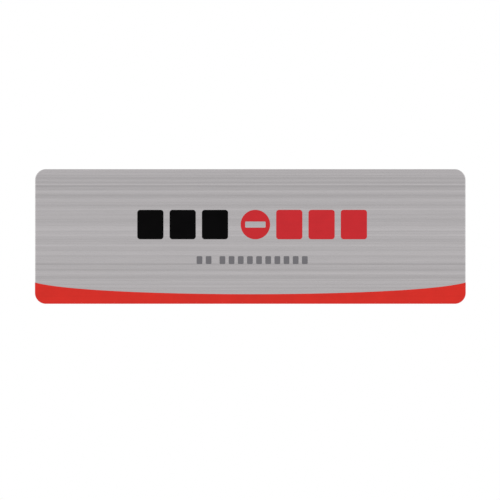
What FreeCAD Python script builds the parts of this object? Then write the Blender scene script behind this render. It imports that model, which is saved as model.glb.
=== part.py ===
import FreeCAD, Part
import math
import os
import Sketcher
from enum import IntEnum

# No entry sign: a brushed metal plate with printed fields of ink on its front
# and double-sided foam tape on its back. Millimetres, +Z up, front towards -Y.
# The origin is the middle of the wall face of the middle tape.

# Driving dimensions
SIZES = {
    "plate_width": 240.0,
    "plate_height": 75.0,
    "plate_thickness": 1.5,
    "corner_radius": 6.0,
    "edge_rounding": 0.5,
    "ink_thickness": 0.1,
    "band_middle_height": 5.3,
    "band_end_height": 11.8,
    "band_handle_length": 32.0,
    "block_width": 14.6,
    "block_height": 16.4,
    "block_corner": 1.6,
    "block_pitch": 18.0,
    "group_space": 7.0,
    "legend_shift": 1.0,
    "legend_rise": 6.6,
    "roundel_diameter": 16.4,
    "roundel_bar_length": 11.4,
    "roundel_bar_height": 3.4,
    "roundel_bar_corner": 0.5,
    "subtitle_block_width": 3.2,
    "subtitle_block_height": 4.4,
    "subtitle_corner": 0.6,
    "subtitle_pitch": 5.1,
    "subtitle_space": 2.6,
    "subtitle_drop": 13.2,
    "tape_width": 20.0,
    "tape_thickness": 1.0,
    "tape_end_inset": 20.0,
    "tape_edge_inset": 8.5,
}



class Axis(IntEnum):
    """How a sketch numbers its own two axes."""

    X = -1
    Y = -2


class Spot(IntEnum):
    """How a sketch numbers the points of a line, a curve or a circle."""

    START = 1
    END = 2
    CENTRE = 3


ORIGIN = (Axis.X, Spot.START)

# Copies in the rows of print
BLACK_BLOCKS = 3
RED_BLOCKS = 3
SUBTITLE_FIRST_GROUP = 2
SUBTITLE_SECOND_GROUP = 10

# The band's curve: its degree, and an even pull of its poles
CUBIC = 3
POLE_WEIGHT = 1.0

# Places along each printed row, as expressions on the sheet. The roundel stands as far from the block
# beside it as the blocks do from each other.
BLACK_SPAN = f"({BLACK_BLOCKS - 1} * Sizes.block_pitch)"
RED_SPAN = f"({RED_BLOCKS - 1} * Sizes.block_pitch)"
ROUNDEL_PLACE = f"({BLACK_SPAN} + Sizes.block_width / 2 + Sizes.group_space + Sizes.roundel_diameter / 2)"
RED_BLOCK_OFFSET = "(Sizes.roundel_diameter / 2 + Sizes.block_pitch - Sizes.block_width / 2)"
LEGEND_SPAN = f"({ROUNDEL_PLACE} + {RED_BLOCK_OFFSET} + {RED_SPAN})"
LEGEND_START = f"(Sizes.legend_shift - {LEGEND_SPAN} / 2)"
SECOND_GROUP_PLACE = f"({SUBTITLE_FIRST_GROUP} * Sizes.subtitle_pitch + Sizes.subtitle_space)"
SUBTITLE_SPAN = f"({SECOND_GROUP_PLACE} + {SUBTITLE_SECOND_GROUP - 1} * Sizes.subtitle_pitch)"
SUBTITLE_START = f"(Sizes.legend_shift - {SUBTITLE_SPAN} / 2)"

# Depths along Y, as expressions on the sheet
PLATE_BACK = "-Sizes.tape_thickness"
PLATE_FRONT = "(-Sizes.tape_thickness - Sizes.plate_thickness)"

# The outer tapes' centres and every tape's height, as expressions on the sheet
TAPE_CENTRE = "(Sizes.plate_width / 2 - Sizes.tape_end_inset - Sizes.tape_width / 2)"
TAPE_HEIGHT = "(Sizes.plate_height - 2 * Sizes.tape_edge_inset)"

document = FreeCAD.newDocument("NoEntrySign")
sheet = document.addObject("Spreadsheet::Sheet", "Sizes")


def fill_sheet():
    """Write each driving dimension beside its name and give the cell that alias."""
    for row, (name, value) in enumerate(SIZES.items(), start=1):
        sheet.set(f"A{row}", name)
        sheet.set(f"B{row}", str(value))
        sheet.setAlias(f"B{row}", name)
    document.recompute()


def value_of(expression):
    """The present value of an expression on the sheet, in millimetres."""
    return float(sheet.evalExpression(expression))


def new_body(name, depth, across="0", up="0"):
    """A body whose XZ plane lies at the given depth, its origin at the given place."""
    body = document.addObject("PartDesign::Body", name)
    body.Label = name
    body.AllowCompound = True
    body.setExpression(".Placement.Base.x", across)
    body.setExpression(".Placement.Base.y", depth)
    body.setExpression(".Placement.Base.z", up)
    return body


def front_sketch(body, name):
    """A sketch on the body's own XZ plane, which looks towards the front."""
    sketch = body.newObject("Sketcher::SketchObject", name)
    planes = [plane for plane in body.Origin.OriginFeatures if plane.Role == "XZ_Plane"]
    sketch.AttachmentSupport = (planes[0], [""])
    sketch.MapMode = "FlatFace"
    return sketch


def constrain(sketch, kind, *references):
    """Add a constraint to the sketch, between the given lines, points or axes."""
    return sketch.addConstraint(Sketcher.Constraint(kind, *references))


def bind(sketch, kind, references, expression, name):
    """Add a dimension to the sketch and tie it to an expression on the sheet."""
    index = constrain(sketch, kind, *references, value_of(expression))
    sketch.renameConstraint(index, name)
    sketch.setExpression(f"Constraints.{name}", expression)


def point(across, up):
    """A point in a sketch's own plane."""
    return FreeCAD.Vector(across, up, 0)


def circle(centre, radius):
    """A circle in a sketch's own plane."""
    return Part.Circle(centre, FreeCAD.Vector(0, 0, 1), radius)


def quarter_arc(centre, radius, quarter):
    """A quarter circle that starts at the given number of right angles."""
    right_angle = math.pi / 2
    return Part.ArcOfCircle(circle(centre, radius), quarter * right_angle, (quarter + 1) * right_angle)


def draw_rounded_rectangle(sketch, name, width, height, radius, offset=None):
    """A rounded rectangle centred on the sketch's X axis, at an offset if one is given."""
    middle = value_of(offset) if offset else 0.0
    half_width = value_of(width) / 2
    half_height = value_of(height) / 2
    round_size = value_of(radius)
    left, right = middle - half_width, middle + half_width
    inner_left, inner_right = left + round_size, right - round_size
    inner_height = half_height - round_size
    bottom_line, right_line, top_line, left_line, *arcs = sketch.addGeometry(
        [
            Part.LineSegment(point(inner_left, -half_height), point(inner_right, -half_height)),
            Part.LineSegment(point(right, -inner_height), point(right, inner_height)),
            Part.LineSegment(point(inner_right, half_height), point(inner_left, half_height)),
            Part.LineSegment(point(left, inner_height), point(left, -inner_height)),
            quarter_arc(point(inner_right, -inner_height), round_size, 3),
            quarter_arc(point(inner_right, inner_height), round_size, 0),
            quarter_arc(point(inner_left, inner_height), round_size, 1),
            quarter_arc(point(inner_left, -inner_height), round_size, 2),
        ],
        False,
    )
    middle_point = sketch.addGeometry(Part.Point(point(middle, 0)), True)
    sides = [bottom_line, right_line, top_line, left_line]
    for arc, before, after in zip(arcs, sides, sides[1:] + sides[:1]):
        constrain(sketch, "Tangent", before, Spot.END, arc, Spot.START)
        constrain(sketch, "Tangent", arc, Spot.END, after, Spot.START)
    for arc, following in zip(arcs, arcs[1:]):
        constrain(sketch, "Equal", arc, following)
    for side in (bottom_line, top_line):
        constrain(sketch, "Horizontal", side)
    for side in (right_line, left_line):
        constrain(sketch, "Vertical", side)
    constrain(sketch, "Symmetric", bottom_line, Spot.START, top_line, Spot.START, middle_point, Spot.START)
    bind(sketch, "Radius", [arcs[0]], radius, f"{name}_radius")
    bind(sketch, "DistanceX", [left_line, Spot.START, right_line, Spot.START], width, f"{name}_width")
    bind(sketch, "DistanceY", [bottom_line, Spot.START, top_line, Spot.START], height, f"{name}_height")
    if offset:
        constrain(sketch, "PointOnObject", middle_point, Spot.START, Axis.X)
        bind(sketch, "DistanceX", [*ORIGIN, middle_point, Spot.START], offset, f"{name}_offset")
    else:
        constrain(sketch, "Coincident", middle_point, Spot.START, *ORIGIN)


def pad(body, sketch, name, length):
    """Pad a sketch forwards, out of its plane."""
    feature = body.newObject("PartDesign::Pad", name)
    feature.Profile = sketch
    feature.setExpression("Length", length)
    sketch.Visibility = False
    document.recompute()
    return feature


def repeat_across(body, feature, name, copies, pitch):
    """Repeat a feature along the sketch's X axis."""
    pattern = body.newObject("PartDesign::LinearPattern", name)
    pattern.Originals = [feature]
    pattern.Direction = (feature.Profile[0], ["H_Axis"])
    pattern.Occurrences = copies
    pattern.setExpression("Length", f"{copies - 1} * {pitch}")
    body.Tip = pattern
    document.recompute()
    return pattern


def rounded_sheet(name, depth, growth, thickness, rounding):
    """A flat sheet with rounded corners, its front edge rounded all the way round."""
    body = new_body(name, depth)
    sketch = front_sketch(body, f"{name}_outline")
    draw_rounded_rectangle(
        sketch,
        "outline",
        f"Sizes.plate_width + 2 * {growth}",
        f"Sizes.plate_height + 2 * {growth}",
        f"Sizes.corner_radius + {growth}",
    )
    blank = pad(body, sketch, f"{name}_blank", thickness)
    front = min(range(len(blank.Shape.Faces)), key=lambda index: blank.Shape.Faces[index].CenterOfMass.y)
    edge = body.newObject("PartDesign::Fillet", f"{name}_front_edge")
    edge.Base = (blank, [f"Face{front + 1}"])
    edge.setExpression("Radius", rounding)
    document.recompute()
    return body


def sign_plate():
    """The metal sheet."""
    return rounded_sheet(
        "sign_plate", PLATE_BACK, "0", "Sizes.plate_thickness", "Sizes.edge_rounding"
    )


def draw_band_outline(sketch):
    """The band's field: a smile-shaped curve on top, past the plate's edges on the other sides.

    The curve is one cubic Bezier with its two handles at one height. Its middle lies three quarters of the
    way from its ends down to that height.
    """
    half_width = "Sizes.plate_width / 2"
    handle = "(Sizes.plate_width / 2 - Sizes.band_handle_length)"
    handle_height = "(Sizes.band_end_height - 4 / 3 * (Sizes.band_end_height - Sizes.band_middle_height))"
    margin = "2 * Sizes.ink_thickness"
    end_x, end_y = value_of(half_width), value_of("Sizes.band_end_height")
    handle_x, handle_y = value_of(handle), value_of(handle_height)
    outer_x, lower_y = end_x + value_of(margin), -value_of(margin)
    poles = [point(-end_x, end_y), point(-handle_x, handle_y), point(handle_x, handle_y), point(end_x, end_y)]
    pole_circles = [sketch.addGeometry(circle(pole, POLE_WEIGHT), True) for pole in poles]
    curve = sketch.addGeometry(Part.BSplineCurve(poles, None, None, False, CUBIC, None, False), False)
    constrain(sketch, "Weight", pole_circles[0], POLE_WEIGHT)
    for pole_circle in pole_circles[1:]:
        constrain(sketch, "Equal", pole_circles[0], pole_circle)
    for number, pole_circle in enumerate(pole_circles):
        alignment = "InternalAlignment:Sketcher::BSplineControlPoint"
        constrain(sketch, alignment, pole_circle, Spot.CENTRE, curve, number)
    left_end, left_handle, right_handle, right_end = pole_circles
    constrain(sketch, "Symmetric", left_end, Spot.CENTRE, right_end, Spot.CENTRE, Axis.Y)
    constrain(sketch, "Symmetric", left_handle, Spot.CENTRE, right_handle, Spot.CENTRE, Axis.Y)
    bind(sketch, "DistanceX", [*ORIGIN, right_end, Spot.CENTRE], half_width, "curve_end")
    bind(sketch, "DistanceY", [*ORIGIN, right_end, Spot.CENTRE], "Sizes.band_end_height", "end_height")
    bind(sketch, "DistanceX", [*ORIGIN, right_handle, Spot.CENTRE], handle, "handle")
    bind(sketch, "DistanceY", [*ORIGIN, right_handle, Spot.CENTRE], handle_height, "handle_height")
    corners = [
        point(end_x, end_y),
        point(outer_x, end_y),
        point(outer_x, lower_y),
        point(-outer_x, lower_y),
        point(-outer_x, end_y),
        point(-end_x, end_y),
    ]
    sides = [sketch.addGeometry(Part.LineSegment(a, b), False) for a, b in zip(corners, corners[1:])]
    right_step, right_side, lower_side, left_side, left_step = sides
    for side, following in zip([curve, *sides], [*sides, curve]):
        constrain(sketch, "Coincident", side, Spot.END, following, Spot.START)
    for side in (right_step, lower_side, left_step):
        constrain(sketch, "Horizontal", side)
    for side in (right_side, left_side):
        constrain(sketch, "Vertical", side)
    bind(sketch, "DistanceX", [right_step, Spot.START, right_step, Spot.END], margin, "right_margin")
    bind(sketch, "DistanceX", [left_step, Spot.START, left_step, Spot.END], margin, "left_margin")
    bind(sketch, "DistanceY", [lower_side, Spot.START, *ORIGIN], margin, "lower_margin")


def red_band(plate):
    """The red ink along the bottom edge, which follows the rounded front edge of the plate."""
    ink = "Sizes.ink_thickness"
    skin = rounded_sheet(
        "band_skin",
        PLATE_BACK,
        ink,
        f"Sizes.plate_thickness + {ink}",
        f"Sizes.edge_rounding + {ink}",
    )
    field = new_body("band_field", f"{PLATE_FRONT} + Sizes.edge_rounding", up="-Sizes.plate_height / 2")
    outline = front_sketch(field, "band_outline")
    draw_band_outline(outline)
    pad(field, outline, "band_depth", f"Sizes.edge_rounding + 2 * {ink}")
    covered = document.addObject("Part::Common", "band_covered")
    covered.Base = skin
    covered.Tool = field
    band = document.addObject("Part::Cut", "red_band")
    band.Base = covered
    band.Tool = plate
    band.Label = "red_band"
    document.recompute()
    return band


def black_legend():
    """The black ink of the main line: a row of blocks."""
    body = new_body("black_legend", PLATE_FRONT, LEGEND_START, "Sizes.legend_rise")
    sketch = front_sketch(body, "black_block_outline")
    draw_rounded_rectangle(sketch, "block", "Sizes.block_width", "Sizes.block_height", "Sizes.block_corner")
    block = pad(body, sketch, "black_block", "Sizes.ink_thickness")
    repeat_across(body, block, "black_row", BLACK_BLOCKS, "Sizes.block_pitch")
    return body


def red_legend():
    """The red ink of the main line: a roundel with a bare bar across it, then a row of blocks."""
    body = new_body("red_legend", PLATE_FRONT, f"{LEGEND_START} + {ROUNDEL_PLACE}", "Sizes.legend_rise")
    disc = front_sketch(body, "roundel_outline")
    radius = "Sizes.roundel_diameter / 2"
    rim = disc.addGeometry(circle(point(0, 0), value_of(radius)), False)
    constrain(disc, "Coincident", rim, Spot.CENTRE, *ORIGIN)
    bind(disc, "Radius", [rim], radius, "roundel_radius")
    draw_rounded_rectangle(
        disc,
        "bar",
        "Sizes.roundel_bar_length",
        "Sizes.roundel_bar_height",
        "Sizes.roundel_bar_corner",
    )
    pad(body, disc, "roundel", "Sizes.ink_thickness")
    sketch = front_sketch(body, "red_block_outline")
    draw_rounded_rectangle(
        sketch,
        "block",
        "Sizes.block_width",
        "Sizes.block_height",
        "Sizes.block_corner",
        RED_BLOCK_OFFSET,
    )
    block = pad(body, sketch, "red_block", "Sizes.ink_thickness")
    repeat_across(body, block, "red_row", RED_BLOCKS, "Sizes.block_pitch")
    return body


def subtitle_group(body, name, copies, offset=None):
    """One group of the small line, as a row of small blocks."""
    sketch = front_sketch(body, f"{name}_outline")
    draw_rounded_rectangle(
        sketch,
        name,
        "Sizes.subtitle_block_width",
        "Sizes.subtitle_block_height",
        "Sizes.subtitle_corner",
        offset,
    )
    block = pad(body, sketch, f"{name}_block", "Sizes.ink_thickness")
    repeat_across(body, block, f"{name}_row", copies, "Sizes.subtitle_pitch")


def grey_subtitle():
    """The grey ink of the small line: a short group of blocks and a long one."""
    body = new_body("grey_subtitle", PLATE_FRONT, SUBTITLE_START, "-Sizes.subtitle_drop")
    subtitle_group(body, "first_group", SUBTITLE_FIRST_GROUP)
    subtitle_group(body, "second_group", SUBTITLE_SECOND_GROUP, SECOND_GROUP_PLACE)
    return body


def foam_tape(name, across):
    """A strip of foam tape between the plate's back and the wall."""
    strip = document.addObject("Part::Box", name)
    strip.Label = name
    strip.setExpression("Length", "Sizes.tape_width")
    strip.setExpression("Width", "Sizes.tape_thickness")
    strip.setExpression("Height", TAPE_HEIGHT)
    strip.setExpression(".Placement.Base.x", f"{across} - Sizes.tape_width / 2")
    strip.setExpression(".Placement.Base.y", "-Sizes.tape_thickness")
    strip.setExpression(".Placement.Base.z", f"-{TAPE_HEIGHT} / 2")
    document.recompute()
    return strip


def check_document():
    """Stop on any object that failed or any shape that isn't valid."""
    for item in document.Objects:
        if "Invalid" in item.State or "Error" in item.State:
            raise RuntimeError(f"{item.Label} failed: {item.State}")
        shape = getattr(item, "Shape", None)
        if shape is not None and not shape.isNull() and not shape.isValid():
            raise RuntimeError(f"{item.Label} has a shape that isn't valid")


def write_parts(pieces):
    """Write each piece to its own STEP file."""
    os.makedirs("parts", exist_ok=True)
    for piece in pieces:
        if piece.Shape.isNull() or not piece.Shape.Solids:
            raise RuntimeError(f"{piece.Label} has no solid")
        piece.Shape.exportStep(f"parts/{piece.Label}.step")
        print(piece.Label, len(piece.Shape.Solids), round(piece.Shape.Volume, 3))


fill_sheet()
plate = sign_plate()
pieces = [
    plate,
    red_band(plate),
    black_legend(),
    red_legend(),
    grey_subtitle(),
    foam_tape("tape_left", f"-{TAPE_CENTRE}"),
    foam_tape("tape_middle", "0"),
    foam_tape("tape_right", TAPE_CENTRE),
]
check_document()
write_parts(pieces)
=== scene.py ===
"""Dresses the no entry sign: a brushed plate, its printed ink and the foam tape on its back.

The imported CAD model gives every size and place. The plate, the ink and the tape are rebuilt here with finer
edges, each in the space of its CAD node, and get procedural finishes. Lengths are metres, the front faces -Y.
"""

import logging
import math
from collections.abc import Iterable, Mapping, Sequence
from dataclasses import dataclass, field
from enum import Enum
from typing import Union

import bmesh
import bpy
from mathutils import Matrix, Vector


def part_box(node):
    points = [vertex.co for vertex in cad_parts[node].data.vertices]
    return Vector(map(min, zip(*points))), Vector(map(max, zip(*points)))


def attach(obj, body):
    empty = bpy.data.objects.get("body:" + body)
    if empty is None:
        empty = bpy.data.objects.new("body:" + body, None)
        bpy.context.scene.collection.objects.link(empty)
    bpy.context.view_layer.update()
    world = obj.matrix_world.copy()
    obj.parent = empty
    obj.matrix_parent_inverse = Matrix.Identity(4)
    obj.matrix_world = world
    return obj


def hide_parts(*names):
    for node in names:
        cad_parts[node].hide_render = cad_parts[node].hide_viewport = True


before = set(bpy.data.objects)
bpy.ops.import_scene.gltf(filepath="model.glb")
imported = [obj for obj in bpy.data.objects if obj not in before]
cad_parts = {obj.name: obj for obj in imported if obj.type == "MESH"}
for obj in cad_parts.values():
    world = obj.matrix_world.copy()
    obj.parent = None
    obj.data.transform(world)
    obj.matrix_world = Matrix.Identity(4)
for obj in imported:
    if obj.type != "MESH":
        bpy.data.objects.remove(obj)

LOG = logging.getLogger("no_entry_sign")

MM = 0.001
ROOT_BODY = "root"
WHITE = (1.0, 1.0, 1.0, 1.0)

# Steps in a quarter turn of the plate's corners, and across its rounded front edge
CORNER_STEPS = 24
EDGE_STEPS = 8

# How far a metal's highlights are turned, as a share of a full turn, so that they spread across its marks
QUARTER_TURN = 0.25

# A face looks straight forwards or backwards, and is shaded flat, where its normal's Y is at least this
FLAT = 0.9999

Colour = tuple[float, float, float, float]
Span = tuple[float, float]
Socketed = Union["Value", bpy.types.NodeSocket, float, int, bool, str, Sequence[float], bpy.types.ID]


class MaterialSlot(Enum):
    """The record's material slots."""

    METAL = "brushed_metal"
    RED = "red_ink"
    BLACK = "black_ink"
    GREY = "grey_ink"
    TAPE = "foam_tape"


def linear(red: float, green: float, blue: float) -> Colour:
    """Turn a colour as a screen shows it into the linear colour that a shader takes.

    Args:
        red: The red level, from 0 to 255.
        green: The green level, from 0 to 255.
        blue: The blue level, from 0 to 255.

    Returns:
        The linear colour with full alpha.
    """
    levels = [level / 255 for level in (red, green, blue)]
    curved = [level / 12.92 if level <= 0.04045 else ((level + 0.055) / 1.055) ** 2.4 for level in levels]
    return (*curved, 1.0)


@dataclass(frozen=True)
class Grain:
    """One noise pattern: its period along each axis in metres, its shift, and its finer layers."""

    x: float
    y: float
    z: float
    shift: float
    layers: float = 2.0


class Brush(Enum):
    """The marks that brushing left along the sheet, from broad to fine."""

    BAND = Grain(6000 * MM, 6000 * MM, 2.682 * MM, 119.114, 1.0)
    LINE = Grain(4000 * MM, 4000 * MM, 1.132 * MM, 132.95, 1.0)
    STREAK = Grain(150 * MM, 150 * MM, 0.42 * MM, 5.4, 1.0)
    HAIR = Grain(26 * MM, 26 * MM, 0.11 * MM, 1.9, 2.0)


@dataclass
class Value:
    """A number that changes over a surface, with Python's operators as Math nodes."""

    plan: "NodePlan"
    socket: bpy.types.NodeSocket

    def _math(self, operation: str, first: Socketed, second: Socketed) -> "Value":
        """Add one Math node for an operation on two values."""
        made = self.plan.node("ShaderNodeMath", {"operation": operation}, {0: first, 1: second})
        return Value(self.plan, made.outputs["Value"])

    def __add__(self, other: Socketed) -> "Value":
        """This value plus another."""
        return self._math("ADD", self, other)

    def __radd__(self, other: Socketed) -> "Value":
        """Another value plus this one."""
        return self._math("ADD", other, self)

    def __sub__(self, other: Socketed) -> "Value":
        """This value less another."""
        return self._math("SUBTRACT", self, other)

    def __rsub__(self, other: Socketed) -> "Value":
        """Another value less this one."""
        return self._math("SUBTRACT", other, self)

    def __mul__(self, other: Socketed) -> "Value":
        """This value times another."""
        return self._math("MULTIPLY", self, other)

    def __truediv__(self, other: Socketed) -> "Value":
        """This value over another."""
        return self._math("DIVIDE", self, other)

    def __gt__(self, other: Socketed) -> "Value":
        """1 where this value is the larger one, and 0 elsewhere."""
        return self._math("GREATER_THAN", self, other)

    def __lt__(self, other: Socketed) -> "Value":
        """1 where this value is the smaller one, and 0 elsewhere."""
        return self._math("LESS_THAN", self, other)

    def __neg__(self) -> "Value":
        """This value with its sign turned."""
        return self._math("MULTIPLY", self, -1.0)

    def __abs__(self) -> "Value":
        """This value without its sign."""
        return self._math("ABSOLUTE", self, 0.0)

    def sine(self) -> "Value":
        """The sine of this value, in radians."""
        return self._math("SINE", self, 0.0)

    def rise(self, span: Span) -> "Value":
        """A smooth step of this value.

        Args:
            span: Where the step starts, at 0, and where it ends, at 1.

        Returns:
            The stepped value, from 0 to 1.
        """
        made = self.plan.node(
            "ShaderNodeMapRange",
            {"interpolation_type": "SMOOTHSTEP"},
            {"Value": self, "From Min": span[0], "From Max": span[1]},
        )
        return Value(self.plan, made.outputs["Result"])


class NodePlan:
    """A node tree that is filled through one method."""

    def __init__(self, tree: bpy.types.NodeTree) -> None:
        """Keep the tree.

        Args:
            tree: The tree to fill.
        """
        self.tree = tree

    def node(
        self,
        kind: str,
        settings: Mapping[str, object] | None = None,
        sockets: Mapping[str | int, Socketed] | None = None,
    ) -> bpy.types.Node:
        """Add a node, set it up, and then give its sockets their values or links.

        Args:
            kind: The node's type.
            settings: Its own settings by name, such as an operation.
            sockets: A value, a link or a Value for each named or numbered input.

        Returns:
            The new node.
        """
        made = self.tree.nodes.new(kind)
        for name, setting in (settings or {}).items():
            setattr(made, name, setting)
        for key, given in (sockets or {}).items():
            source = given.socket if isinstance(given, Value) else given
            if isinstance(source, bpy.types.NodeSocket):
                self.tree.links.new(source, made.inputs[key])
            else:
                made.inputs[key].default_value = source
        return made

    def split(self, vector: bpy.types.NodeSocket) -> dict[str, Value]:
        """A vector's three numbers, under X, Y and Z."""
        made = self.node("ShaderNodeSeparateXYZ", sockets={"Vector": vector})
        return {axis: Value(self, made.outputs[axis]) for axis in "XYZ"}

    def shown_rays(self) -> Value:
        """1 for the rays that show the room itself: seen straight, in gloss or through glass."""
        path = self.node("ShaderNodeLightPath").outputs
        return Value(self, path["Is Camera Ray"]) + path["Is Glossy Ray"] + path["Is Transmission Ray"]


class Surface(NodePlan):
    """The node tree of one material, with what this sign's finishes share."""

    def __init__(self, name: str) -> None:
        """Make the material.

        Args:
            name: The material's name.
        """
        self.material = bpy.data.materials.new(name)
        self.material.use_nodes = True
        super().__init__(self.material.node_tree)
        self.tree.nodes.clear()
        self.place = self.node("ShaderNodeTexCoord").outputs["Object"]

    def noise(self, grain: Grain) -> Value:
        """A smooth noise pattern.

        Args:
            grain: Its size, its shift and its layers.

        Returns:
            The noise, about 0 and mostly from -0.5 to 0.5.
        """
        scaled = self.node(
            "ShaderNodeMapping",
            sockets={
                "Vector": self.place,
                "Location": (grain.shift,) * 3,
                "Scale": (1 / grain.x, 1 / grain.y, 1 / grain.z),
            },
        )
        made = self.node(
            "ShaderNodeTexNoise",
            {"noise_dimensions": "3D"},
            {"Vector": scaled.outputs["Vector"], "Scale": 1.0, "Detail": grain.layers, "Roughness": 0.5},
        )
        return (Value(self, made.outputs["Fac"]) - 0.5) * 2.0

    def finish(
        self,
        colour: Colour,
        light: Value,
        rough: Value,
        height: Value,
        relief: float,
        steady: Mapping[str, float],
    ) -> bpy.types.Material:
        """Close the tree with a Principled shader.

        Args:
            colour: The linear colour.
            light: What the colour is multiplied by.
            rough: The roughness.
            height: The pattern of the relief.
            relief: The real height of one unit of that pattern, in metres.
            steady: The shader's inputs that are the same all over.

        Returns:
            The material.
        """
        scaling = {"Vector": colour[:3], "Scale": light}
        tinted = self.node("ShaderNodeVectorMath", {"operation": "SCALE"}, scaling)
        bump = self.node("ShaderNodeBump", sockets={"Height": height, "Distance": relief})
        shader = self.node(
            "ShaderNodeBsdfPrincipled",
            sockets={
                "Base Color": tinted.outputs["Vector"],
                "Roughness": rough,
                "Normal": bump.outputs["Normal"],
                **steady,
            },
        )
        self.node("ShaderNodeOutputMaterial", sockets={"Surface": shader.outputs["BSDF"]})
        return self.material


def metal(stretch: float = 0.0) -> dict[str, float]:
    """The steady inputs of bare metal, whose highlights spread across its marks by a share."""
    return {"Metallic": 1.0, "Anisotropic": stretch, "Anisotropic Rotation": QUARTER_TURN}


def coating(gleam: float) -> dict[str, float]:
    """The steady inputs of ink, film and foam: a specular level, where 0.5 is plain plastic's."""
    return {"Specular IOR Level": gleam}


@dataclass(frozen=True)
class BrushedFace:
    """Hairline aluminium: brush marks of several widths along the sheet, under a painted sheen: a pale band
    painted across its middle, and painted shade towards its top.
    """

    colour: Colour = linear(175.2, 172, 173.3)
    lightness: float = 0.995
    band_share: float = 0.192
    line_share: float = 0.165
    cut_share: float = 0.116
    cut_range: Span = (0.22, 0.58)
    ridge_share: float = 0.107
    ridge_range: Span = (0.28, 0.54)
    streak_share: float = 0.06
    hair_share: float = 0.11
    glint_share: float = 0.07
    glint_range: Span = (0.22, 0.4)
    # Painted sheen and shade: a pale band painted across the middle of the face and a darker top, with
    # heights in metres
    painted_sheen_gain: float = 0.046
    painted_sheen_rise: Span = (-22 * MM, -3 * MM)
    painted_sheen_loss: float = 0.061
    painted_sheen_fall: Span = (4 * MM, 30 * MM)
    roughness: float = 0.3
    streak_roughness: float = 0.08
    hair_roughness: float = 0.1
    highlight_stretch: float = 0.6
    line_relief: float = 0.4
    relief: float = 0.006 * MM

    def build(self) -> bpy.types.Material:
        """Make the material.

        Returns:
            The material.
        """
        surface = Surface("brushed_face")
        bands, lines, streaks, hairs = (surface.noise(mark.value) for mark in Brush)
        cuts, ridges = (-lines).rise(self.cut_range), lines.rise(self.ridge_range)
        glints = hairs.rise(self.glint_range)
        up = surface.split(surface.place)["Z"]
        # Painted sheen: the colour is lighter across the middle and darker towards the top
        painted_sheen = up.rise(self.painted_sheen_rise) * self.painted_sheen_gain - up.rise(self.painted_sheen_fall) * self.painted_sheen_loss
        light = (
            self.lightness
            + painted_sheen
            + bands * self.band_share
            + lines * self.line_share
            - cuts * self.cut_share
            + ridges * self.ridge_share
            + streaks * self.streak_share
            + hairs * self.hair_share
            + glints * self.glint_share
        )
        rough = self.roughness + streaks * self.streak_roughness + hairs * self.hair_roughness
        height = hairs + streaks + (lines - cuts) * self.line_relief
        steady = metal(self.highlight_stretch)
        return surface.finish(self.colour, light, rough, height, self.relief, steady)


@dataclass(frozen=True)
class PunchedEdge:
    """The cut side of the sheet: a bright rubbed band behind the front, then a dull torn one."""

    colour: Colour = linear(182, 180, 180)
    torn: Span = (-1.62 * MM, -1.5 * MM)
    ragged: Grain = Grain(0.9 * MM, 4 * MM, 0.9 * MM, 5.3, 3.0)
    raggedness: float = 0.25 * MM
    torn_loss: float = 0.16
    drag: Grain = Grain(0.16 * MM, 1.6 * MM, 0.16 * MM, 2.2)
    drag_share: float = 0.1
    torn_grain: Grain = Grain(0.22 * MM, 0.2 * MM, 0.22 * MM, 8.4, 3.0)
    grain_share: float = 0.2
    roughness: float = 0.24
    torn_roughness: float = 0.31
    drag_relief: float = 0.5
    relief: float = 0.02 * MM

    def build(self) -> bpy.types.Material:
        """Make the material.

        Returns:
            The material.
        """
        surface = Surface("punched_edge")
        depth = surface.split(surface.place)["Y"]
        torn = (depth + surface.noise(self.ragged) * self.raggedness).rise(self.torn)
        drag = surface.noise(self.drag)
        grain = torn * surface.noise(self.torn_grain)
        light = 1.0 - torn * self.torn_loss + drag * self.drag_share + grain * self.grain_share
        rough = self.roughness + torn * self.torn_roughness
        height = drag * self.drag_relief + grain
        return surface.finish(self.colour, light, rough, height, self.relief, metal())


@dataclass(frozen=True)
class MillBack:
    """The sheet's back as the mill left it: fine rolling lines, faint cloudy patches and a few pits."""

    colour: Colour = linear(184, 183, 184)
    rolling: Grain = Grain(60 * MM, 60 * MM, 0.45 * MM, 4.6)
    rolling_share: float = 0.13
    broad: Grain = Grain(900 * MM, 900 * MM, 3.2 * MM, 6.1, 1.0)
    broad_share: float = 0.1
    cloud: Grain = Grain(38 * MM, 38 * MM, 22 * MM, 9.1, 3.0)
    cloud_share: float = 0.09
    pit: Grain = Grain(0.7 * MM, 0.7 * MM, 0.7 * MM, 6.6)
    pit_range: Span = (0.42, 0.62)
    pit_share: float = 0.1
    roughness: float = 0.34
    cloud_roughness: float = 0.12
    rolling_roughness: float = 0.08
    highlight_stretch: float = 0.35
    broad_relief: float = 0.5
    relief: float = 0.006 * MM

    def build(self) -> bpy.types.Material:
        """Make the material.

        Returns:
            The material.
        """
        surface = Surface("mill_back")
        rolling, broad, cloud = (surface.noise(grain) for grain in (self.rolling, self.broad, self.cloud))
        pits = surface.noise(self.pit).rise(self.pit_range)
        light = (
            1.0
            + rolling * self.rolling_share
            + broad * self.broad_share
            + cloud * self.cloud_share
            - pits * self.pit_share
        )
        rough = self.roughness + cloud * self.cloud_roughness + rolling * self.rolling_roughness
        height = rolling + broad * self.broad_relief - pits
        steady = metal(self.highlight_stretch)
        return surface.finish(self.colour, light, rough, height, self.relief, steady)


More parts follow.
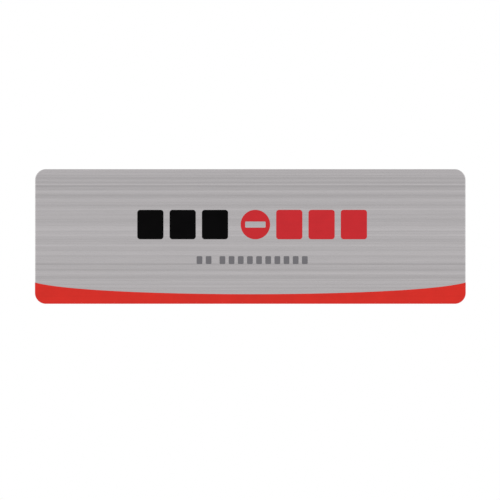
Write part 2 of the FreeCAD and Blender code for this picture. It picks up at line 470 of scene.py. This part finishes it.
@dataclass(frozen=True)
class Ink:
    """Satin ink on brushed metal: the brush marks show through it faintly, and it lies a little unevenly."""

    name: str
    colour: Colour
    unevenness: float = 0.09
    gleam: float = 0.12
    cloud: Grain = Grain(9 * MM, 9 * MM, 6 * MM, 3.7, 3.0)
    peel: Grain = Grain(0.5 * MM, 0.5 * MM, 0.5 * MM, 5.9)
    mark_share: float = 0.7
    peel_share: float = 0.4
    roughness: float = 0.42
    uneven_roughness: float = 0.08
    hair_relief: float = 0.6
    line_relief: float = 0.4
    peel_relief: float = 0.5
    relief: float = 0.005 * MM

    def build(self) -> bpy.types.Material:
        """Make the material.

        Returns:
            The material.
        """
        surface = Surface(self.name)
        lines, hairs = surface.noise(Brush.LINE.value), surface.noise(Brush.HAIR.value)
        cloud, peel = surface.noise(self.cloud), surface.noise(self.peel)
        shown = (lines + hairs) * self.mark_share
        light = 1.0 + (cloud + shown + peel * self.peel_share) * self.unevenness
        rough = self.roughness + (hairs + cloud) * self.uneven_roughness
        height = hairs * self.hair_relief + lines * self.line_relief + peel * self.peel_relief
        return surface.finish(self.colour, light, rough, height, self.relief, coating(self.gleam))


@dataclass(frozen=True)
class TapeSkin:
    """The adhesive face of the tape: a glossy white film with faint flow lines and trapped air."""

    colour: Colour = linear(233, 231, 224)
    flow: Grain = Grain(7 * MM, 7 * MM, 26 * MM, 1.4, 3.0)
    flow_share: float = 0.05
    air: Grain = Grain(1.3 * MM, 1.3 * MM, 1.3 * MM, 7.2)
    air_range: Span = (0.28, 0.5)
    air_share: float = 0.06
    grain: Grain = Grain(0.35 * MM, 0.35 * MM, 0.35 * MM, 2.8)
    grain_share: float = 0.04
    roughness: float = 0.3
    flow_roughness: float = 0.1
    air_roughness: float = 0.25
    flow_relief: float = 0.6
    grain_relief: float = 0.4
    air_relief: float = 0.7
    gleam: float = 0.4
    relief: float = 0.03 * MM

    def build(self) -> bpy.types.Material:
        """Make the material.

        Returns:
            The material.
        """
        surface = Surface("tape_skin")
        flow, grain = surface.noise(self.flow), surface.noise(self.grain)
        air = surface.noise(self.air).rise(self.air_range)
        light = 1.0 + flow * self.flow_share - air * self.air_share + grain * self.grain_share
        rough = self.roughness + air * self.air_roughness + flow * self.flow_roughness
        height = flow * self.flow_relief + grain * self.grain_relief - air * self.air_relief
        return surface.finish(self.colour, light, rough, height, self.relief, coating(self.gleam))


@dataclass(frozen=True)
class TapeFoam:
    """The cut side of the tape: white closed-cell foam, with painted shade in its cell hollows."""

    colour: Colour = linear(226, 223, 214)
    cell: float = 0.2 * MM
    wall: Span = (0.0, 0.3)
    # Painted shade: how light the cell hollows are in colour, against the lighter cell walls
    shaded_hollow_level: float = 0.86
    wall_share: float = 0.16
    patch: Grain = Grain(6 * MM, 6 * MM, 6 * MM, 3.3)
    patch_share: float = 0.08
    roughness: float = 0.85
    wall_polish: float = 0.1
    gleam: float = 0.25
    relief: float = 0.06 * MM

    def build(self) -> bpy.types.Material:
        """Make the material.

        Returns:
            The material.
        """
        surface = Surface("tape_foam")
        cells = surface.node(
            "ShaderNodeTexVoronoi",
            {"feature": "DISTANCE_TO_EDGE"},
            {"Vector": surface.place, "Scale": 1 / self.cell},
        )
        walls = 1.0 - Value(surface, cells.outputs["Distance"]).rise(self.wall)
        # The walls are lighter and the hollows darker in colour: painted shade in the cells
        light = self.shaded_hollow_level + walls * self.wall_share + surface.noise(self.patch) * self.patch_share
        rough = self.roughness - walls * self.wall_polish
        return surface.finish(self.colour, light, rough, walls, self.relief, coating(self.gleam))


class GeometryPlan(NodePlan):
    """A Geometry Nodes tree with named sizes, which is run on an empty object and kept as a plain mesh."""

    weld_distance: float = 0.0005 * MM
    rim_angle: float = math.radians(60)
    rim_zone: float = 0.25

    def __init__(self, name: str) -> None:
        """Make the tree with its output.

        Args:
            name: The tree's name.
        """
        super().__init__(bpy.data.node_groups.new(name, "GeometryNodeTree"))
        self.tree.interface.new_socket("Geometry", in_out="OUTPUT", socket_type="NodeSocketGeometry")
        self.inputs = self.node("NodeGroupInput")
        self.identifiers: dict[str, str] = {}

    def size(self, name: str, kind: str = "Float") -> bpy.types.NodeSocket:
        """Add a named input.

        Args:
            name: What the size is.
            kind: Float, Int, Vector or Material.

        Returns:
            The socket that carries it inside the tree.
        """
        item = self.tree.interface.new_socket(name, in_out="INPUT", socket_type=f"NodeSocket{kind}")
        self.identifiers[name] = item.identifier
        return self.inputs.outputs[name]

    def vector(self, x: Socketed = 0.0, y: Socketed = 0.0, z: Socketed = 0.0) -> bpy.types.NodeSocket:
        """A vector from three numbers."""
        return self.node("ShaderNodeCombineXYZ", sockets={"X": x, "Y": y, "Z": z}).outputs["Vector"]

    def rounded_rectangle(
        self, width: Socketed, height: Socketed, radius: Socketed, steps: Socketed
    ) -> bpy.types.NodeSocket:
        """A closed outline with four round corners, about the origin of the XY plane.

        Args:
            width: Its size along X.
            height: Its size along Y.
            radius: The corners' radius.
            steps: Points in each corner.

        Returns:
            The outline curve.
        """
        sizes = {"Width": width, "Height": height}
        plain = self.node("GeometryNodeCurvePrimitiveQuadrilateral", sockets=sizes)
        rounded = self.node(
            "GeometryNodeFilletCurve",
            {"mode": "POLY"},
            {"Curve": plain.outputs["Curve"], "Count": steps, "Radius": radius},
        )
        return rounded.outputs["Curve"]

    def join(self, parts: Iterable[bpy.types.NodeSocket]) -> bpy.types.NodeSocket:
        """Several geometries as one.

        Args:
            parts: The geometries.

        Returns:
            The joined geometry.
        """
        made = self.node("GeometryNodeJoinGeometry")
        for part in parts:
            self.tree.links.new(part, made.inputs["Geometry"])
        return made.outputs["Geometry"]

    def stand_up(self, geometry: bpy.types.NodeSocket) -> bpy.types.NodeSocket:
        """Turn what faces up so that it faces the front."""
        turn = {"Geometry": geometry, "Rotation": (math.radians(90), 0.0, 0.0)}
        return self.node("GeometryNodeTransform", sockets=turn).outputs["Geometry"]

    def moved(self, geometry: bpy.types.NodeSocket, by: Socketed) -> bpy.types.NodeSocket:
        """Move a geometry by a vector."""
        shift = {"Geometry": geometry, "Translation": by}
        return self.node("GeometryNodeTransform", sockets=shift).outputs["Geometry"]

    def here(self) -> dict[str, Value]:
        """The place of each point, under X, Y and Z."""
        return self.split(self.node("GeometryNodeInputPosition").outputs["Position"])

    def slab(self, outline: bpy.types.NodeSocket, thickness: Value, back: Socketed) -> bpy.types.NodeSocket:
        """A closed slab behind an outline, standing up with its front in the plane Y = 0.

        The rim edges carry bevel weights: 1 at the front, and the given one at the back.

        Args:
            outline: The front's closed outline, in the XY plane.
            thickness: How thick the slab is.
            back: The bevel weight of the back's rim.

        Returns:
            The slab's mesh.
        """
        face = self.node("GeometryNodeFillCurve", {"mode": "NGONS"}, {"Curve": outline}).outputs["Mesh"]
        lowered = self.moved(face, self.vector(z=-thickness))
        raised = self.node(
            "GeometryNodeExtrudeMesh",
            {"mode": "FACES"},
            {"Mesh": lowered, "Offset": (0.0, 0.0, 1.0), "Offset Scale": thickness, "Individual": False},
        ).outputs["Mesh"]
        lower = self.node("GeometryNodeFlipFaces", sockets={"Mesh": lowered}).outputs["Mesh"]
        closed = self.node(
            "GeometryNodeMergeByDistance",
            sockets={"Geometry": self.join([raised, lower]), "Distance": self.weld_distance},
        ).outputs["Geometry"]
        up = self.here()["Z"]
        angle = Value(self, self.node("GeometryNodeInputMeshEdgeAngle").outputs["Unsigned Angle"])
        near_front, near_back = up > thickness * -self.rim_zone, up < thickness * (self.rim_zone - 1)
        weight = (angle > self.rim_angle) * (near_front + near_back * back)
        weighted = self.node(
            "GeometryNodeStoreNamedAttribute",
            {"data_type": "FLOAT", "domain": "EDGE"},
            {"Geometry": closed, "Name": "bevel_weight_edge", "Value": weight},
        ).outputs["Geometry"]
        return self.stand_up(weighted)

    def close(self, geometry: bpy.types.NodeSocket, selection: Socketed = True) -> None:
        """End the tree: real geometry in place of instances, and a material on it.

        Args:
            geometry: What the tree makes.
            selection: Which faces get the material.
        """
        real = self.node("GeometryNodeRealizeInstances", sockets={"Geometry": geometry}).outputs["Geometry"]
        sockets = {"Geometry": real, "Selection": selection, "Material": self.size("Material", "Material")}
        dressed = self.node("GeometryNodeSetMaterial", sockets=sockets).outputs["Geometry"]
        self.node("NodeGroupOutput", sockets={"Geometry": dressed})

    def run(self, values: Mapping[str, Socketed], rounding: float = 0.0, steps: int = 1) -> bpy.types.Mesh:
        """Build a mesh from the tree and round its weighted edges.

        Args:
            values: A value for each named input.
            rounding: The radius at a bevel weight of 1, or 0 for none.
            steps: Faces across the rounding.

        Returns:
            A plain mesh that nothing else uses.
        """
        holder = bpy.data.objects.new("holder", bpy.data.meshes.new("holder"))
        bpy.context.scene.collection.objects.link(holder)
        modifier = holder.modifiers.new("plan", "NODES")
        modifier.node_group = self.tree
        for name, value in values.items():
            modifier[self.identifiers[name]] = value
        if rounding > 0.0:
            bevel = holder.modifiers.new("rounding", "BEVEL")
            bevel.limit_method = "WEIGHT"
            bevel.width = rounding
            bevel.segments = steps
            bevel.use_clamp_overlap = False
        evaluated = holder.evaluated_get(bpy.context.evaluated_depsgraph_get())
        made = bpy.data.meshes.new_from_object(evaluated)
        holder.modifiers.clear()
        bpy.data.objects.remove(holder)
        # The empty object's own slot comes first, with nothing in it
        if made.materials[0] is None:
            made.materials.pop(index=0)
        return made


class SlabRowPlan(GeometryPlan):
    """A row of equal rounded slabs along X. The plate itself is a row of one."""

    def __init__(self) -> None:
        """Build the tree."""
        super().__init__("slab_row")
        outline = self.rounded_rectangle(
            self.size("Width"), self.size("Height"), self.size("Corner"), self.size("Corner Steps", "Int")
        )
        slab = self.slab(outline, Value(self, self.size("Thickness")), self.size("Back Weight"))
        places = self.node(
            "GeometryNodeMeshLine",
            {"mode": "OFFSET"},
            {
                "Count": self.size("Copies", "Int"),
                "Start Location": self.size("First Place", "Vector"),
                "Offset": self.vector(x=self.size("Pitch")),
            },
        ).outputs["Mesh"]
        row = self.node("GeometryNodeInstanceOnPoints", sockets={"Points": places, "Instance": slab})
        self.close(row.outputs["Instances"])


class RoundelPlan(GeometryPlan):
    """A disc of ink with a rounded bar left bare across it."""

    def __init__(self) -> None:
        """Build the tree."""
        super().__init__("roundel")
        disc = self.node(
            "GeometryNodeCurvePrimitiveCircle",
            sockets={"Resolution": self.size("Rim Steps", "Int"), "Radius": self.size("Radius")},
        ).outputs["Curve"]
        bar_sizes = (self.size("Bar Length"), self.size("Bar Height"), self.size("Bar Corner"))
        bar = self.rounded_rectangle(*bar_sizes, self.size("Bar Steps", "Int"))
        slab = self.slab(self.join([disc, bar]), Value(self, self.size("Thickness")), 0.0)
        self.close(self.moved(slab, self.size("Place", "Vector")))


class StripPlan(GeometryPlan):
    """A strip of tape between two flat faces, whose cut sides draw in half way between them."""

    side_limit: float = 0.7

    def __init__(self) -> None:
        """Build the tree."""
        super().__init__("tape_strip")
        outline = self.rounded_rectangle(
            self.size("Width"), self.size("Height"), self.size("Corner"), self.size("Corner Steps", "Int")
        )
        thickness = Value(self, self.size("Thickness"))
        ends = {"Start": self.vector(z=-thickness), "End": (0.0, 0.0, 0.0)}
        line = self.node("GeometryNodeCurvePrimitiveLine", sockets=ends)
        levels = self.node(
            "GeometryNodeResampleCurve",
            {"mode": "COUNT"},
            {"Curve": line.outputs["Curve"], "Count": self.size("Levels", "Int")},
        ).outputs["Curve"]
        body = self.node(
            "GeometryNodeCurveToMesh", sockets={"Curve": levels, "Profile Curve": outline, "Fill Caps": True}
        ).outputs["Mesh"]
        normal = self.node("GeometryNodeInputNormal").outputs["Normal"]
        depth = (-self.here()["Z"] / thickness * math.pi).sine() * -1.0 * self.size("Draw In")
        pull = self.node("ShaderNodeVectorMath", {"operation": "SCALE"}, {"Vector": normal, "Scale": depth})
        drawn = self.node(
            "GeometryNodeSetPosition", sockets={"Geometry": body, "Offset": pull.outputs["Vector"]}
        ).outputs["Geometry"]
        faces = {"Geometry": self.stand_up(drawn), "Material": self.size("Face Material", "Material")}
        faced = self.node("GeometryNodeSetMaterial", sockets=faces).outputs["Geometry"]
        turned = self.split(self.node("GeometryNodeInputNormal").outputs["Normal"])
        self.close(self.moved(faced, self.size("Place", "Vector")), abs(turned["Y"]) < self.side_limit)


def shade(mesh: bpy.types.Mesh) -> None:
    """Shade rounded and side faces smooth, and the flat front and back faces flat.

    Args:
        mesh: The mesh to shade.
    """
    for face in mesh.polygons:
        face.use_smooth = abs(face.normal.y) < FLAT


def add_piece(name: str, mesh: bpy.types.Mesh, nodes: Sequence[str]) -> bpy.types.Object:
    """Put a finished mesh in the scene in place of its CAD nodes.

    Args:
        name: The piece's name.
        mesh: Its mesh, already in place.
        nodes: The CAD nodes that it stands for.

    Returns:
        The new object.
    """
    mesh.name = name
    shade(mesh)
    piece = bpy.data.objects.new(name, mesh)
    bpy.context.scene.collection.objects.link(piece)
    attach(piece, ROOT_BODY)
    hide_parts(*nodes)
    LOG.info("%s: %d faces", name, len(mesh.polygons))
    return piece


def merged(meshes: Sequence[bpy.types.Mesh]) -> bpy.types.Mesh:
    """Several meshes of one material as one.

    Args:
        meshes: The meshes. They are removed.

    Returns:
        The joined mesh.
    """
    gathered = bmesh.new()
    made = bpy.data.meshes.new("merged")
    made.materials.append(meshes[0].materials[0])
    for mesh in meshes:
        gathered.from_mesh(mesh)
        bpy.data.meshes.remove(mesh)
    gathered.to_mesh(made)
    gathered.free()
    return made


@dataclass
class Plate:
    """The brushed metal sheet, with its size and place read from its CAD node."""

    corner: float = 6.0 * MM
    edge_rounding: float = 0.5 * MM
    back_break: float = 0.08 * MM
    front_limit: float = -0.05
    back_limit: float = 0.5
    low: Vector = field(default_factory=lambda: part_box("sign_plate")[0])
    high: Vector = field(default_factory=lambda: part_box("sign_plate")[1])

    @property
    def width(self) -> float:
        """The plate's length along X."""
        return self.high.x - self.low.x

    @property
    def height(self) -> float:
        """The plate's height along Z."""
        return self.high.z - self.low.z

    @property
    def front(self) -> float:
        """Where the front face lies along Y."""
        return self.low.y

    def build(self, rows: SlabRowPlan) -> bpy.types.Object:
        """Build and dress the plate.

        Args:
            rows: The tree that makes rounded slabs.

        Returns:
            The plate.
        """
        face = BrushedFace().build()
        mesh = rows.run(
            {
                "Width": self.width,
                "Height": self.height,
                "Corner": self.corner,
                "Corner Steps": CORNER_STEPS,
                "Thickness": self.high.y - self.low.y,
                "Back Weight": self.back_break / self.edge_rounding,
                "Copies": 1,
                "First Place": ((self.low.x + self.high.x) / 2, self.front, (self.low.z + self.high.z) / 2),
                "Pitch": 0.0,
                "Material": face,
            },
            self.edge_rounding,
            EDGE_STEPS,
        )
        mesh.materials.clear()
        for finish in (face, PunchedEdge().build(), MillBack().build()):
            mesh.materials.append(finish)
        for polygon in mesh.polygons:
            turned = polygon.normal.y
            polygon.material_index = 0 if turned < self.front_limit else 2 if turned > self.back_limit else 1
        return add_piece("brushed_plate", mesh, ["sign_plate"])


@dataclass
class BandInk:
    """The red ink along the bottom: a smile-shaped top edge, and a skin that wraps the rounded front edge."""

    plate: Plate
    middle_height: float = 5.3 * MM
    end_height: float = 11.8 * MM
    handle_length: float = 32.0 * MM
    curve_steps: int = 96
    halvings: int = 40

    @property
    def ink(self) -> float:
        """The ink's thickness."""
        return self.plate.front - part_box("red_band")[0].y

    def curve(self, share: float) -> tuple[float, float]:
        """A point of the band's top edge.

        Args:
            share: How far along it, from 0 at the left end to 1 at the right.

        Returns:
            The point's X, and its height above the plate's bottom edge.
        """
        end = self.plate.width / 2
        handle = end - self.handle_length
        low = self.end_height - 4 / 3 * (self.end_height - self.middle_height)
        weights = ((1 - share) ** 3, 3 * share * (1 - share) ** 2, 3 * share**2 * (1 - share), share**3)
        across = sum(weight * pole for weight, pole in zip(weights, (-end, -handle, handle, end)))
        up = sum(weight * pole for weight, pole in zip(weights, (self.end_height, low, low, self.end_height)))
        return across, up

    def edge_height(self, across: float) -> float:
        """The height of the band's top edge above the plate's bottom, level beyond the plate's ends.

        Args:
            across: The place along X.

        Returns:
            The height.
        """
        if abs(across) >= self.plate.width / 2:
            return self.end_height
        low, high = 0.0, 1.0
        for _ in range(self.halvings):
            middle = (low + high) / 2
            low, high = (middle, high) if self.curve(middle)[0] < across else (low, middle)
        return self.curve(low)[1]

    def stations(self) -> list[tuple[Vector, Vector]]:
        """Points down the left side, along the bottom and up the right side, each with its outward way.

        Returns:
            Pairs of a point on the plate's outline and a unit vector, both in the plane X, Z.
        """
        half, corner = self.plate.width / 2, self.plate.corner
        bottom = self.plate.low.z
        quarter = math.pi / 2
        found = [(Vector((-half, bottom + self.end_height)), Vector((-1.0, 0.0)))]
        for side, start in ((-1, 2 * quarter), (1, 3 * quarter)):
            centre = Vector((side * (half - corner), bottom + corner))
            for step in range(CORNER_STEPS + 1):
                angle = start + quarter * step / CORNER_STEPS
                outward = Vector((math.cos(angle), math.sin(angle)))
                found.append((centre + corner * outward, outward))
        found.append((Vector((half, bottom + self.end_height)), Vector((1.0, 0.0))))
        return found

    def surface(self, mesh: bmesh.types.BMesh, lift: float) -> list[bmesh.types.BMVert]:
        """One side of the skin: the flat field and the part round the plate's edge.

        Args:
            mesh: The mesh that it is added to.
            lift: How far it lies off the plate.

        Returns:
            Its boundary, all the way round.
        """
        rounding = self.plate.edge_rounding
        stations = self.stations()
        columns = []
        for number, (point, outward) in enumerate(stations):
            column = []
            for step in range(EDGE_STEPS + 1):
                angle = math.pi / 2 * step / EDGE_STEPS
                place = point + outward * (-rounding + (rounding + lift) * math.sin(angle))
                depth = self.plate.front + rounding - (rounding + lift) * math.cos(angle)
                if number in (0, len(stations) - 1):
                    place.y = self.plate.low.z + self.edge_height(place.x)
                column.append(mesh.verts.new((place.x, depth, place.y)))
            columns.append(column)
        flat_end = self.plate.width / 2 - rounding
        points = [self.curve(1 - step / self.curve_steps) for step in range(self.curve_steps + 1)]
        top = [
            mesh.verts.new((across, self.plate.front - lift, self.plate.low.z + up))
            for across, up in points
            if abs(across) < flat_end
        ]
        mesh.faces.new([column[0] for column in columns] + top)
        for before, after in zip(columns, columns[1:]):
            for step in range(EDGE_STEPS):
                mesh.faces.new((before[step], before[step + 1], after[step + 1], after[step]))
        lip = [column[-1] for column in columns]
        return top + columns[0] + lip[1:] + columns[-1][-2::-1]

    def build(self, ink: bpy.types.Material) -> bpy.types.Object:
        """Build and dress the band.

        Args:
            ink: The red ink's material.

        Returns:
            The band.
        """
        skin = bmesh.new()
        outside = self.surface(skin, self.ink)
        inside = self.surface(skin, 0.0)
        for number in range(len(outside)):
            after = (number + 1) % len(outside)
            skin.faces.new((outside[after], outside[number], inside[number], inside[after]))
        bmesh.ops.recalc_face_normals(skin, faces=skin.faces)
        mesh = bpy.data.meshes.new("band")
        skin.to_mesh(mesh)
        skin.free()
        mesh.materials.append(ink)
        return add_piece("band_ink", mesh, ["red_band"])


@dataclass
class Print:
    """The printed rows: plain blocks and a roundel, in the space of their CAD nodes."""

    rows: SlabRowPlan
    roundels: RoundelPlan
    block_width: float = 14.6 * MM
    block_corner: float = 1.6 * MM
    block_pitch: float = 18.0 * MM
    block_copies: int = 3
    bar_length: float = 11.4 * MM
    bar_height: float = 3.4 * MM
    bar_corner: float = 0.5 * MM
    small_width: float = 3.2 * MM
    small_corner: float = 0.6 * MM
    small_pitch: float = 5.1 * MM
    first_group: int = 2
    second_group: int = 10
    soft_edge: float = 0.04 * MM
    soft_steps: int = 2
    corner_steps: int = 8
    bar_steps: int = 6
    rim_steps: int = 96

    def row(
        self,
        node: str,
        ink: bpy.types.Material,
        last: float,
        copies: int,
        block: tuple[float, float, float],
    ) -> bpy.types.Mesh:
        """A row of blocks of ink, as high and as thick as a CAD node.

        Args:
            node: The CAD node.
            ink: The ink's material.
            last: The right edge of the last block, along X.
            copies: How many blocks there are.
            block: A block's width, the radius of its corners, and the step from one block to the next.

        Returns:
            The row's mesh.
        """
        low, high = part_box(node)
        width, corner, pitch = block
        first = last - width / 2 - (copies - 1) * pitch
        return self.rows.run(
            {
                "Width": width,
                "Height": high.z - low.z,
                "Corner": corner,
                "Corner Steps": self.corner_steps,
                "Thickness": high.y - low.y,
                "Back Weight": 0.0,
                "Copies": copies,
                "First Place": (first, low.y, (low.z + high.z) / 2),
                "Pitch": pitch,
                "Material": ink,
            },
            self.soft_edge,
            self.soft_steps,
        )

    def blocks(self, node: str, ink: bpy.types.Material) -> bpy.types.Mesh:
        """The large blocks of a node, which end where it ends."""
        block = (self.block_width, self.block_corner, self.block_pitch)
        return self.row(node, ink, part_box(node)[1].x, self.block_copies, block)

    def roundel(self, ink: bpy.types.Material) -> bpy.types.Mesh:
        """The roundel, at the left end of the red row.

        Args:
            ink: The red ink's material.

        Returns:
            The roundel's mesh.
        """
        low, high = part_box("red_legend")
        radius = (high.z - low.z) / 2
        return self.roundels.run(
            {
                "Rim Steps": self.rim_steps,
                "Radius": radius,
                "Bar Length": self.bar_length,
                "Bar Height": self.bar_height,
                "Bar Corner": self.bar_corner,
                "Bar Steps": self.bar_steps,
                "Thickness": high.y - low.y,
                "Place": (low.x + radius, low.y, low.z + radius),
                "Material": ink,
            },
            self.soft_edge,
            self.soft_steps,
        )

    def small_blocks(self, ink: bpy.types.Material) -> bpy.types.Mesh:
        """The two groups of small blocks.

        Args:
            ink: The grey ink's material.

        Returns:
            The mesh of both.
        """
        low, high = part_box("grey_subtitle")
        block = (self.small_width, self.small_corner, self.small_pitch)
        first_end = low.x + self.small_width + (self.first_group - 1) * self.small_pitch
        ends = ((first_end, self.first_group), (high.x, self.second_group))
        return merged([self.row("grey_subtitle", ink, end, copies, block) for end, copies in ends])

    def build(self) -> None:
        """Build and dress the three printed pieces."""
        black = Ink("black_ink", linear(5.5, 5, 5.5), unevenness=0.5, gleam=0.025).build()
        red = Ink("deep_red_ink", linear(198.5, 39, 45)).build()
        grey = Ink("grey_ink", linear(112, 110.5, 114)).build()
        black_row = self.blocks("black_legend", black)
        red_row = merged([self.blocks("red_legend", red), self.roundel(red)])
        add_piece("black_legend_ink", black_row, ["black_legend"])
        add_piece("red_legend_ink", red_row, ["red_legend"])
        add_piece("grey_subtitle_ink", self.small_blocks(grey), ["grey_subtitle"])


@dataclass
class FoamTape:
    """Three strips of double-sided foam tape on the plate's back."""

    nodes: tuple[str, ...] = ("tape_left", "tape_middle", "tape_right")
    corner: float = 0.5 * MM
    corner_steps: int = 5
    draw_in: float = 0.14 * MM
    levels: int = 9
    fill: float = 0.9

    def build(self) -> None:
        """Build and dress the strips."""
        strips = StripPlan()
        skin, foam = TapeSkin().build(), TapeFoam().build()
        for node in self.nodes:
            low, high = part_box(node)
            mesh = strips.run(
                {
                    "Width": high.x - low.x,
                    "Height": high.z - low.z,
                    "Corner": self.corner,
                    "Corner Steps": self.corner_steps,
                    "Thickness": high.y - low.y,
                    "Levels": self.levels,
                    "Draw In": self.draw_in,
                    "Place": ((low.x + high.x) / 2, low.y, (low.z + high.z) / 2),
                    "Face Material": skin,
                    "Material": foam,
                }
            )
            strip = add_piece(f"{node}_foam", mesh, [node])


@dataclass(frozen=True)
class Lamp:
    """A square soft lamp that points at the sign: its name, its place, its side in metres and its watts."""

    name: str
    place: tuple[float, float, float]
    side: float
    watts: float

    def build(self) -> None:
        """Add the lamp."""
        data = bpy.data.lights.new(self.name, "AREA")
        data.size = self.side
        data.energy = self.watts
        lamp = bpy.data.objects.new(self.name, data)
        lamp.location = self.place
        lamp.rotation_euler = (-Vector(self.place)).to_track_quat("-Z", "Y").to_euler()
        lamp.visible_camera = False
        bpy.context.scene.collection.objects.link(lamp)


@dataclass
class Studio:
    """A white room with large soft lamps in front and behind, a pale floor below and a long lens."""

    plate: Plate
    lamps: tuple[Lamp, ...] = (
        Lamp("front_left", (-1.1, -0.6, 0.4), 1.3, 3.3),
        Lamp("front_right", (1.1, -0.6, 0.4), 1.3, 3.3),
        Lamp("behind", (0.35, 1.0, 0.5), 1.4, 2.5),
    )
    lens: float = 100.0
    sensor: float = 36.0
    frame_px: float = 500.0
    sign_width_px: float = 430.7
    sign_centre_px: tuple[float, float] = (250.34, 236.4)
    room_light: float = 0.81
    floor_drop: float = 250 * MM
    floor_size: float = 1000 * MM
    floor_colour: Colour = (0.93, 0.93, 0.93, 1.0)
    floor_fade: Span = (0.45, 0.98)

    def camera(self) -> None:
        """Place the camera straight in front, so that the sign lies where the photograph has it."""
        metres_per_px = self.plate.width / self.sign_width_px
        distance = metres_per_px * self.frame_px * self.lens / self.sensor
        middle = self.frame_px / 2
        across = (middle - self.sign_centre_px[0]) * metres_per_px
        up = (self.sign_centre_px[1] - middle) * metres_per_px
        data = bpy.data.cameras.new("camera")
        data.lens = self.lens
        data.sensor_width = self.sensor
        camera = bpy.data.objects.new("camera", data)
        camera.location = (across, self.plate.front - distance, up)
        camera.rotation_euler = (math.radians(90), 0.0, 0.0)
        bpy.context.scene.collection.objects.link(camera)
        bpy.context.scene.camera = camera

    def world(self) -> None:
        """Light the room evenly, and show it white to the camera and in gloss."""
        world = bpy.data.worlds.new("room")
        world.use_nodes = True
        bpy.context.scene.world = world
        plan = NodePlan(world.node_tree)
        plan.tree.nodes.clear()
        room = plan.node("ShaderNodeBackground", sockets={"Color": WHITE, "Strength": self.room_light})
        shown = plan.node("ShaderNodeBackground", sockets={"Color": WHITE, "Strength": 1.0})
        mixed = plan.node(
            "ShaderNodeMixShader",
            sockets={0: plan.shown_rays(), 1: room.outputs["Background"], 2: shown.outputs["Background"]},
        )
        plan.node("ShaderNodeOutputWorld", sockets={"Surface": mixed.outputs["Shader"]})

    def floor(self) -> None:
        """Lay a pale floor below the sign, which fades to the backdrop at its rim."""
        half = self.floor_size / 2
        mesh = bpy.data.meshes.new("floor")
        corners = ((-half, -half), (half, -half), (half, half), (-half, half))
        mesh.from_pydata([(x, y, -self.floor_drop) for x, y in corners], [], [(0, 1, 2, 3)])
        floor = bpy.data.objects.new("floor", mesh)
        bpy.context.scene.collection.objects.link(floor)
        surface = Surface("floor")
        mesh.materials.append(surface.material)
        level = {0: surface.place, 1: (1.0, 1.0, 0.0)}
        flat = surface.node("ShaderNodeVectorMath", {"operation": "MULTIPLY"}, level)
        far = surface.node("ShaderNodeVectorMath", {"operation": "LENGTH"}, {0: flat.outputs["Vector"]})
        share = Value(surface, far.outputs["Value"]) / half
        rim = share.rise(self.floor_fade)
        paint = surface.node("ShaderNodeBsdfDiffuse", sockets={"Color": self.floor_colour})
        white = surface.node("ShaderNodeEmission", sockets={"Color": WHITE, "Strength": 1.0})
        top = surface.node(
            "ShaderNodeMixShader",
            sockets={0: rim * surface.shown_rays(), 1: paint.outputs["BSDF"], 2: white.outputs["Emission"]},
        )
        below = surface.node("ShaderNodeNewGeometry").outputs["Backfacing"]
        clear = surface.node("ShaderNodeBsdfTransparent")
        both = surface.node(
            "ShaderNodeMixShader",
            sockets={0: below, 1: top.outputs["Shader"], 2: clear.outputs["BSDF"]},
        )
        surface.node("ShaderNodeOutputMaterial", sockets={"Surface": both.outputs["Shader"]})

    def build(self) -> None:
        """Set up the room, its lamps, the floor and the camera."""
        bpy.context.scene.view_settings.view_transform = "Standard"
        self.world()
        for lamp in self.lamps:
            lamp.build()
        self.floor()
        self.camera()


def main() -> None:
    """Build the sign piece by piece, then the room."""
    logging.basicConfig(level=logging.INFO, format="%(name)s: %(message)s")
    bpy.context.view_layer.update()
    rows = SlabRowPlan()
    plate = Plate()
    plate.build(rows)
    BandInk(plate).build(Ink("red_ink", linear(213, 43, 34)).build())
    Print(rows, RoundelPlan()).build()
    FoamTape().build()
    Studio(plate).build()


if __name__ == "__main__":
    main()
